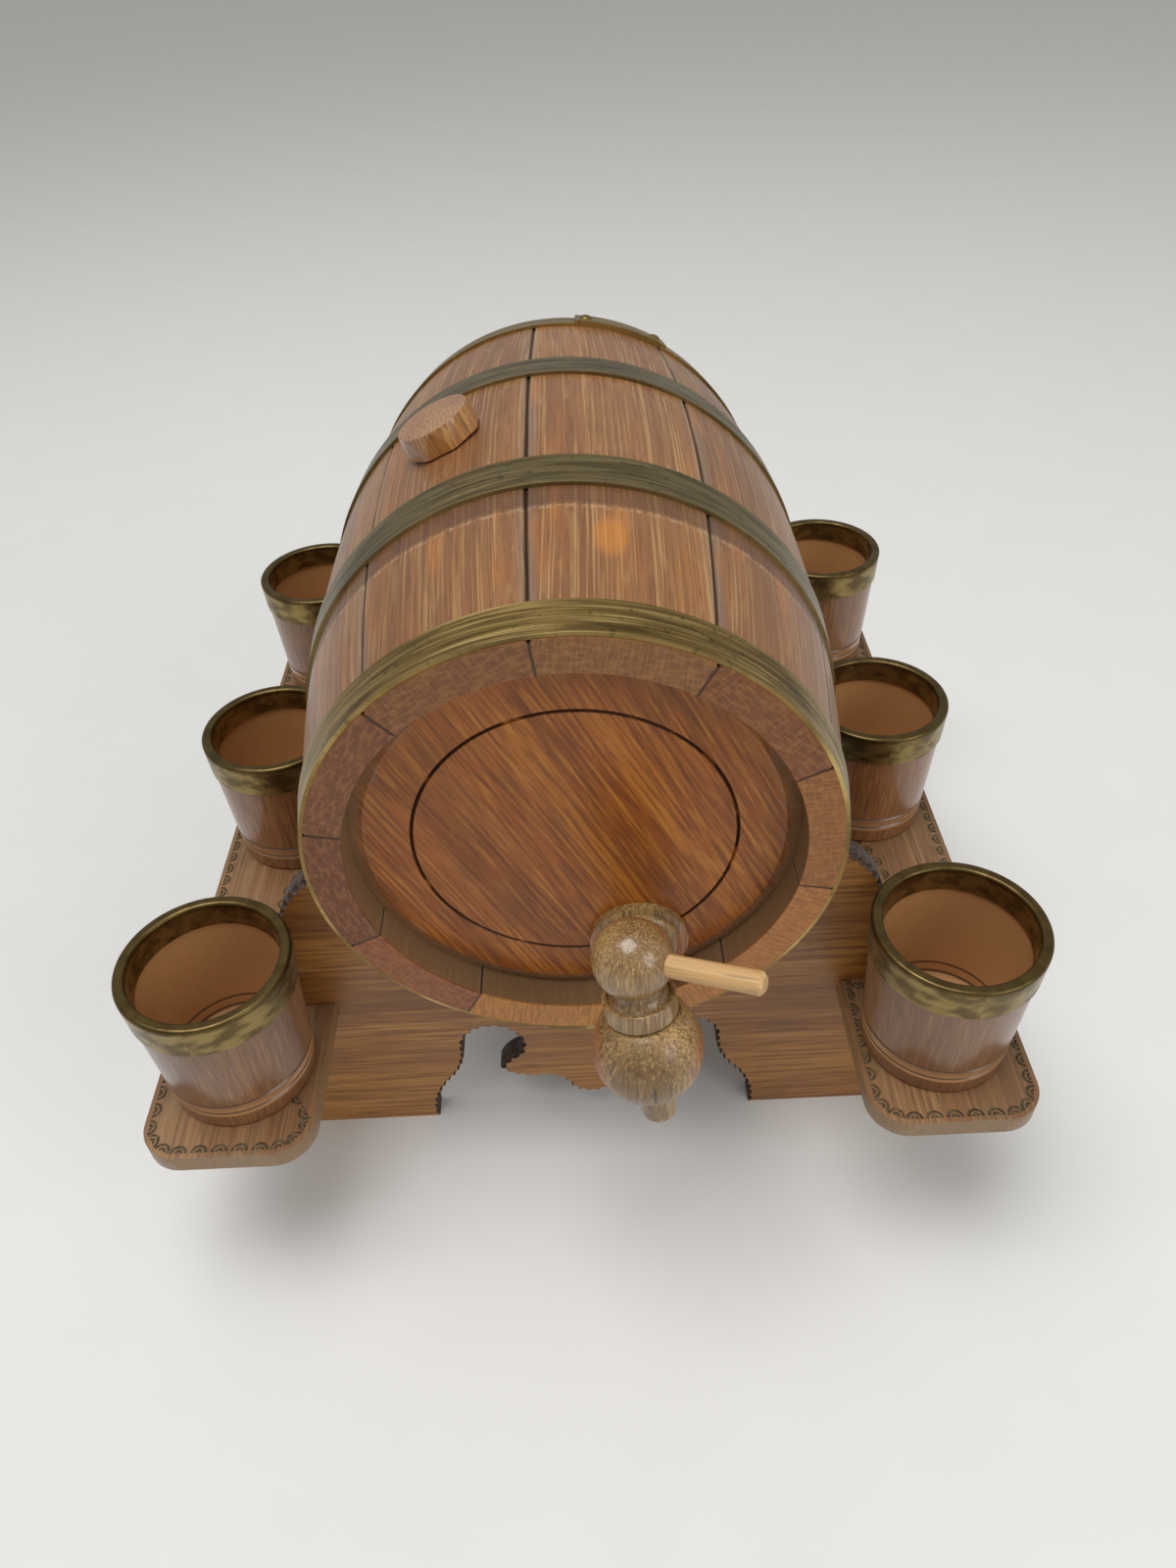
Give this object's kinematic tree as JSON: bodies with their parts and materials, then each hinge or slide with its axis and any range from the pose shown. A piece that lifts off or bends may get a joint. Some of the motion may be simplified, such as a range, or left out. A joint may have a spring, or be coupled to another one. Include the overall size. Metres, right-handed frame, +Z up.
{
  "type": "cask liquor dispenser",
  "caption": "Small oak cask on a scroll-cut stand, with brass hoops, a turned wooden tap with a peg handle, a bung on top and brass-rimmed wooden beakers on side trays.",
  "frame": {"origin": "on the ground, under the middle of the whole object's bounding box", "axes": "+Z up; -Y is the front, where the tap is; +X is to the viewer's right when facing the tap; the cask's axis lies along Y at X = 0"},
  "size_m": [0.246, 0.264, 0.2146],
  "materials": {
    "stave_oak": "varnished, worn",
    "head_oak": "varnished",
    "hoop_brass": "aged, brushed",
    "rivet_brass": "aged",
    "bung_oak": "varnished",
    "tap_wood": "varnished",
    "handle_beech": "plain",
    "board_wood": "varnished, edges scorched",
    "tray_wood": "varnished",
    "nail_steel": "dull",
    "cup_wood": "varnished",
    "rim_brass": "aged, darkened lip"
  },
  "bodies": {
    "stand": {"front_board": "board_wood", "rear_board": "board_wood", "left_tray": "tray_wood", "right_tray": "tray_wood", "tray_nails": "nail_steel"},
    "cask": {"bung_stave": "stave_oak", "stave_02": "stave_oak", "stave_03": "stave_oak", "stave_04": "stave_oak", "stave_05": "stave_oak", "stave_06": "stave_oak", "stave_07": "stave_oak", "stave_08": "stave_oak", "stave_09": "stave_oak", "stave_10": "stave_oak", "front_head": "head_oak", "rear_head": "head_oak", "front_head_hoop": "hoop_brass", "front_bilge_hoop": "hoop_brass", "rear_bilge_hoop": "hoop_brass", "rear_head_hoop": "hoop_brass", "hoop_rivets": "rivet_brass", "tap_spigot": "tap_wood"},
    "bung": {"bung": "bung_oak"},
    "tap_key": {"tap_key": "tap_wood", "tap_handle": "handle_beech"},
    "left_front_beaker": {"left_front_cup": "cup_wood", "left_front_rim": "rim_brass"},
    "left_middle_beaker": {"left_middle_cup": "cup_wood", "left_middle_rim": "rim_brass"},
    "left_rear_beaker": {"left_rear_cup": "cup_wood", "left_rear_rim": "rim_brass"},
    "right_front_beaker": {"right_front_cup": "cup_wood", "right_front_rim": "rim_brass"},
    "right_middle_beaker": {"right_middle_cup": "cup_wood", "right_middle_rim": "rim_brass"},
    "right_rear_beaker": {"right_rear_cup": "cup_wood", "right_rear_rim": "rim_brass"}
  },
  "joints": [
    {"name": "cask_lift", "type": "slide", "parent": "stand", "child": "cask", "axis": [0, 0, 1], "range_m": [0, 0.075]},
    {"name": "key_turn", "type": "hinge", "parent": "cask", "child": "tap_key", "pos_m": [0.01551, -0.11675, 0.09837], "axis": [-0.1158, 0.2079, 0.9713], "range_deg": [-208, 82]},
    {"name": "bung_pull", "type": "slide", "parent": "cask", "child": "bung", "axis": [-0.4067, 0, 0.9135], "range_m": [0, 0.025]},
    {"name": "left_front_lift", "type": "slide", "parent": "stand", "child": "left_front_beaker", "axis": [0, 0, 1], "range_m": [0, 0.06]},
    {"name": "left_middle_lift", "type": "slide", "parent": "stand", "child": "left_middle_beaker", "axis": [0, 0, 1], "range_m": [0, 0.06]},
    {"name": "left_rear_lift", "type": "slide", "parent": "stand", "child": "left_rear_beaker", "axis": [0, 0, 1], "range_m": [0, 0.06]},
    {"name": "right_front_lift", "type": "slide", "parent": "stand", "child": "right_front_beaker", "axis": [0, 0, 1], "range_m": [0, 0.06]},
    {"name": "right_middle_lift", "type": "slide", "parent": "stand", "child": "right_middle_beaker", "axis": [0, 0, 1], "range_m": [0, 0.06]},
    {"name": "right_rear_lift", "type": "slide", "parent": "stand", "child": "right_rear_beaker", "axis": [0, 0, 1], "range_m": [0, 0.06]}
  ]
}
